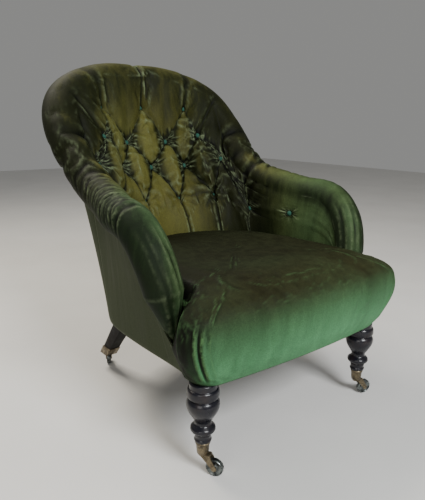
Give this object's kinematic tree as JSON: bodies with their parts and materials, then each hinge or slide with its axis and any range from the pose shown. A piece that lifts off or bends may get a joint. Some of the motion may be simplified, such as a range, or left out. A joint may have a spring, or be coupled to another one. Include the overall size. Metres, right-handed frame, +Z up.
{
  "type": "armchair",
  "caption": "Low armchair with a raked tub back deep buttoned inside, rolled arms, a sprung seat, turned front legs and raked back legs on small castors.",
  "frame": {"origin": "middle of the chair's outline seen from above, on the floor", "axes": "+Z up, +Y to the back of the chair, +X to the sitter's left"},
  "size_m": [0.6764, 0.78, 0.833],
  "materials": {
    "velvet": "cotton velvet with a deep pile",
    "horsehair": "teased horsehair and wadding",
    "hessian": "jute canvas and webbing",
    "lining_cloth": "black cambric",
    "frame_wood": "sawn beech",
    "ebonised_wood": "ebonised and polished",
    "iron": "forged, dark",
    "spring_steel": "coppered steel wire",
    "brass": "aged brass",
    "wheel_brass": "worn brass"
  },
  "bodies": {
    "chair": {"arm_front_left": "velvet", "arm_front_right": "velvet", "back_hessian": "hessian", "back_leg_left": "ebonised_wood", "back_leg_right": "ebonised_wood", "back_leg_sockets": "brass", "bottom_lining": "lining_cloth", "bow_rail": "frame_wood", "buttons": "velvet", "corner_braces": "frame_wood", "cross_rail": "frame_wood", "front_leg_left": "ebonised_wood", "front_leg_right": "ebonised_wood", "front_leg_sockets": "brass", "front_rail": "frame_wood", "iron_rim": "iron", "iron_straps": "iron", "outside_arm_left": "velvet", "outside_arm_right": "velvet", "outside_back": "velvet", "seat_canvas": "hessian", "seat_cover": "velvet", "seat_springs": "spring_steel", "seat_stuffing": "horsehair", "seat_webbing": "hessian", "side_rail_left": "frame_wood", "side_rail_right": "frame_wood", "tufted_pad": "velvet"},
    "swivel_front_right": {"castor_horn_front_right": "brass"},
    "wheel_front_right": {"castor_wheel_front_right": "wheel_brass"},
    "swivel_front_left": {"castor_horn_front_left": "brass"},
    "wheel_front_left": {"castor_wheel_front_left": "wheel_brass"},
    "swivel_back_right": {"castor_horn_back_right": "brass"},
    "wheel_back_right": {"castor_wheel_back_right": "wheel_brass"},
    "swivel_back_left": {"castor_horn_back_left": "brass"},
    "wheel_back_left": {"castor_wheel_back_left": "wheel_brass"}
  },
  "joints": [
    {"name": "front_right_swivel", "type": "hinge", "parent": "chair", "child": "swivel_front_right", "pos_m": [-0.246, -0.32199, 0.044], "axis": [0, 0, 1], "continuous": true},
    {"name": "front_right_roll", "type": "hinge", "parent": "swivel_front_right", "child": "wheel_front_right", "pos_m": [-0.233, -0.34451, 0.018], "axis": [0.866, 0.5, 0], "continuous": true},
    {"name": "front_left_swivel", "type": "hinge", "parent": "chair", "child": "swivel_front_left", "pos_m": [0.246, -0.32199, 0.044], "axis": [0, 0, 1], "continuous": true},
    {"name": "front_left_roll", "type": "hinge", "parent": "swivel_front_left", "child": "wheel_front_left", "pos_m": [0.27123, -0.32828, 0.018], "axis": [0.2419, 0.9703, 0], "continuous": true},
    {"name": "back_right_swivel", "type": "hinge", "parent": "chair", "child": "swivel_back_right", "pos_m": [-0.19, 0.19201, 0.044], "axis": [0, 0, 1], "continuous": true},
    {"name": "back_right_roll", "type": "hinge", "parent": "swivel_back_right", "child": "wheel_back_right", "pos_m": [-0.17779, 0.21497, 0.018], "axis": [-0.8829, 0.4695, 0], "continuous": true},
    {"name": "back_left_swivel", "type": "hinge", "parent": "chair", "child": "swivel_back_left", "pos_m": [0.19, 0.19201, 0.044], "axis": [0, 0, 1], "continuous": true},
    {"name": "back_left_roll", "type": "hinge", "parent": "swivel_back_left", "child": "wheel_back_left", "pos_m": [0.18549, 0.21762, 0.018], "axis": [-0.9848, -0.1736, 0], "continuous": true}
  ]
}
